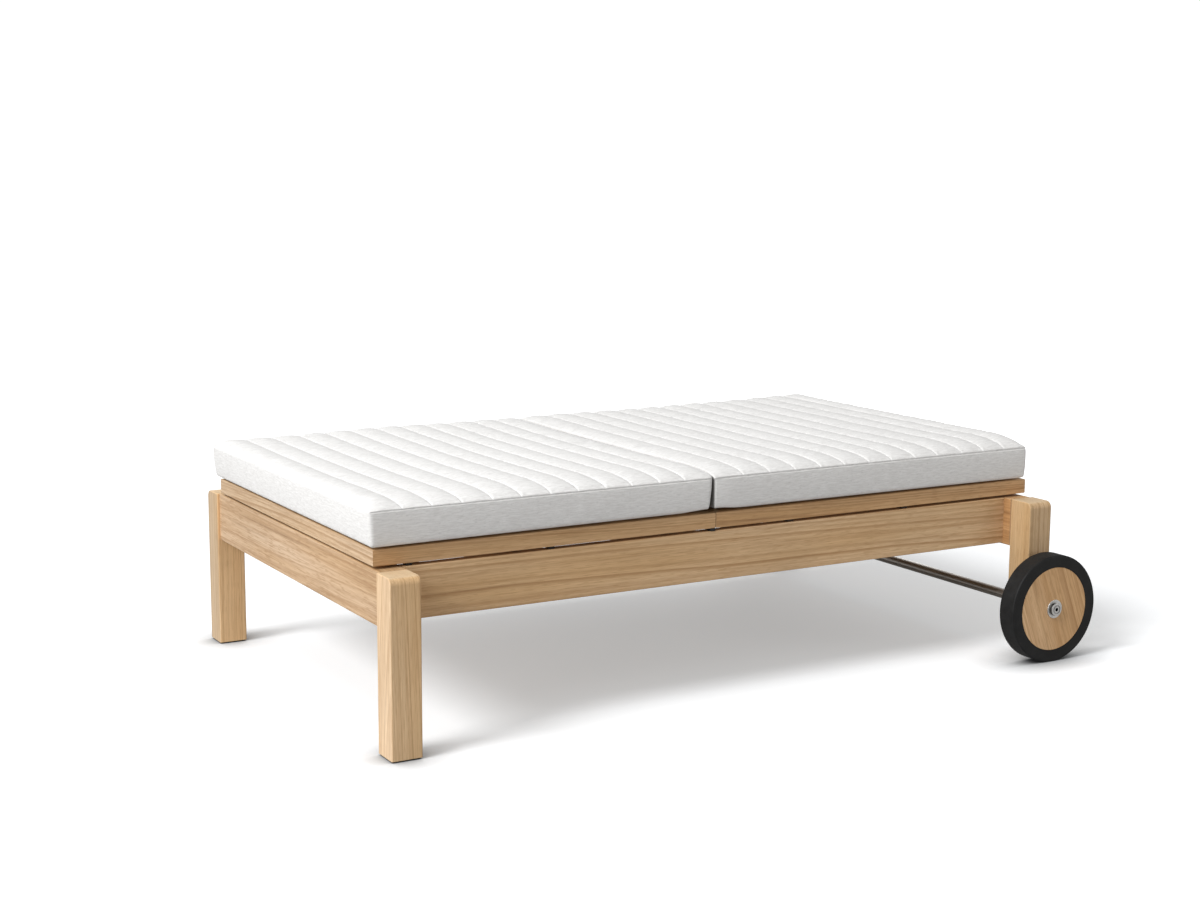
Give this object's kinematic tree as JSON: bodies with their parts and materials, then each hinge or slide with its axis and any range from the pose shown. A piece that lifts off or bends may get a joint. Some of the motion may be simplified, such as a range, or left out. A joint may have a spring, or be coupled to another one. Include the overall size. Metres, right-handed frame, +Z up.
{
  "type": "double chaise lounger",
  "caption": "Low two-person teak sun lounger: hinged backrest on a folding prop, channelled cushions, wooden wheels with rubber tyres under the head end.",
  "frame": {"origin": "on the ground, under the middle of the whole object", "axes": "+X along the lounger towards the wheeled head end, +Y to the left of a person who faces the head end, +Z up"},
  "size_m": [2.105, 1.4606, 0.595],
  "materials": {
    "teak_leg": "oiled teak, eased edges",
    "teak_frame": "oiled teak, eased edges",
    "teak_seat_deck": "oiled teak, eased edges",
    "teak_back_deck": "oiled teak, eased edges",
    "teak_hidden": "plain sawn and sanded teak",
    "teak_wheel": "oiled teak disc",
    "cushion_fabric": "off-white woven outdoor fabric with sewn channels",
    "tyre_rubber": "matte black rubber",
    "pad_rubber": "matte black rubber",
    "glide_plastic": "matte black plastic",
    "bush_plastic": "off-white nylon",
    "axle_steel": "brushed stainless steel",
    "hardware_steel": "satin stainless steel"
  },
  "bodies": {
    "frame": {"leg_foot_left": "teak_leg", "leg_foot_right": "teak_leg", "leg_head_left": "teak_leg", "leg_head_right": "teak_leg", "foot_glides": "glide_plastic", "foot_apron": "teak_frame", "head_apron": "teak_frame", "side_rail_left": "teak_frame", "side_rail_right": "teak_frame", "cross_rail_seat": "teak_hidden", "cross_rail_fold": "teak_hidden", "corner_brackets": "hardware_steel", "corner_bracket_screws": "hardware_steel", "deck_fixing_brackets": "hardware_steel", "deck_fixing_screws": "hardware_steel", "seat_stile_left": "teak_seat_deck", "seat_stile_right": "teak_seat_deck", "seat_foot_rail": "teak_seat_deck", "seat_fold_rail": "teak_seat_deck", "seat_centre_bearer": "teak_hidden", "seat_slats": "teak_hidden", "seat_slat_screws": "hardware_steel", "seat_hinge_leaves": "hardware_steel", "seat_hinge_screws": "hardware_steel", "hinge_pins": "hardware_steel", "seat_deck_pads": "pad_rubber", "backrest_rest_pads": "pad_rubber", "ratchet_left": "teak_hidden", "ratchet_right": "teak_hidden", "ratchet_screws": "hardware_steel", "axle_tube": "axle_steel", "axle_end_plugs": "axle_steel", "axle_spacers": "bush_plastic", "axle_washers": "axle_steel", "axle_cap_bolts": "axle_steel", "seat_cushion": "cushion_fabric", "seat_cushion_fold": "cushion_fabric"},
    "backrest": {"back_stile_left": "teak_back_deck", "back_stile_right": "teak_back_deck", "back_fold_rail": "teak_back_deck", "back_head_rail": "teak_back_deck", "back_prop_rail": "teak_hidden", "back_centre_bearers": "teak_hidden", "back_slats": "teak_hidden", "back_slat_screws": "hardware_steel", "back_hinge_leaves": "hardware_steel", "back_hinge_screws": "hardware_steel", "prop_brackets": "hardware_steel", "prop_bracket_screws": "hardware_steel", "back_cushion": "cushion_fabric", "back_cushion_fold": "cushion_fabric"},
    "prop": {"prop_arms": "hardware_steel", "prop_pivot_bar": "hardware_steel", "prop_foot_bar": "hardware_steel"},
    "wheel_left": {"tyre_left": "tyre_rubber", "wheel_disc_left": "teak_wheel", "wheel_bush_left": "bush_plastic"},
    "wheel_right": {"tyre_right": "tyre_rubber", "wheel_disc_right": "teak_wheel", "wheel_bush_right": "bush_plastic"}
  },
  "joints": [
    {"name": "backrest_hinge", "type": "hinge", "parent": "frame", "child": "backrest", "pos_m": [-0.0975, 0, 0.481], "axis": [0, -1, 0], "range_deg": [0, 55], "deforming": ["seat_cushion_fold", "back_cushion_fold"]},
    {"name": "prop_pivot", "type": "hinge", "parent": "backrest", "child": "prop", "pos_m": [0.2525, 0, 0.425], "axis": [0, 1, 0], "range_deg": [0, 88]},
    {"name": "wheel_left_spin", "type": "hinge", "parent": "frame", "child": "wheel_left", "pos_m": [0.9025, 0.6925, 0.15], "axis": [0, 1, 0], "continuous": true},
    {"name": "wheel_right_spin", "type": "hinge", "parent": "frame", "child": "wheel_right", "pos_m": [0.9025, -0.6925, 0.15], "axis": [0, 1, 0], "continuous": true}
  ],
  "couplings": [
    {"joint": "prop_pivot", "follows": "backrest_hinge", "ratio": 1.6}
  ]
}
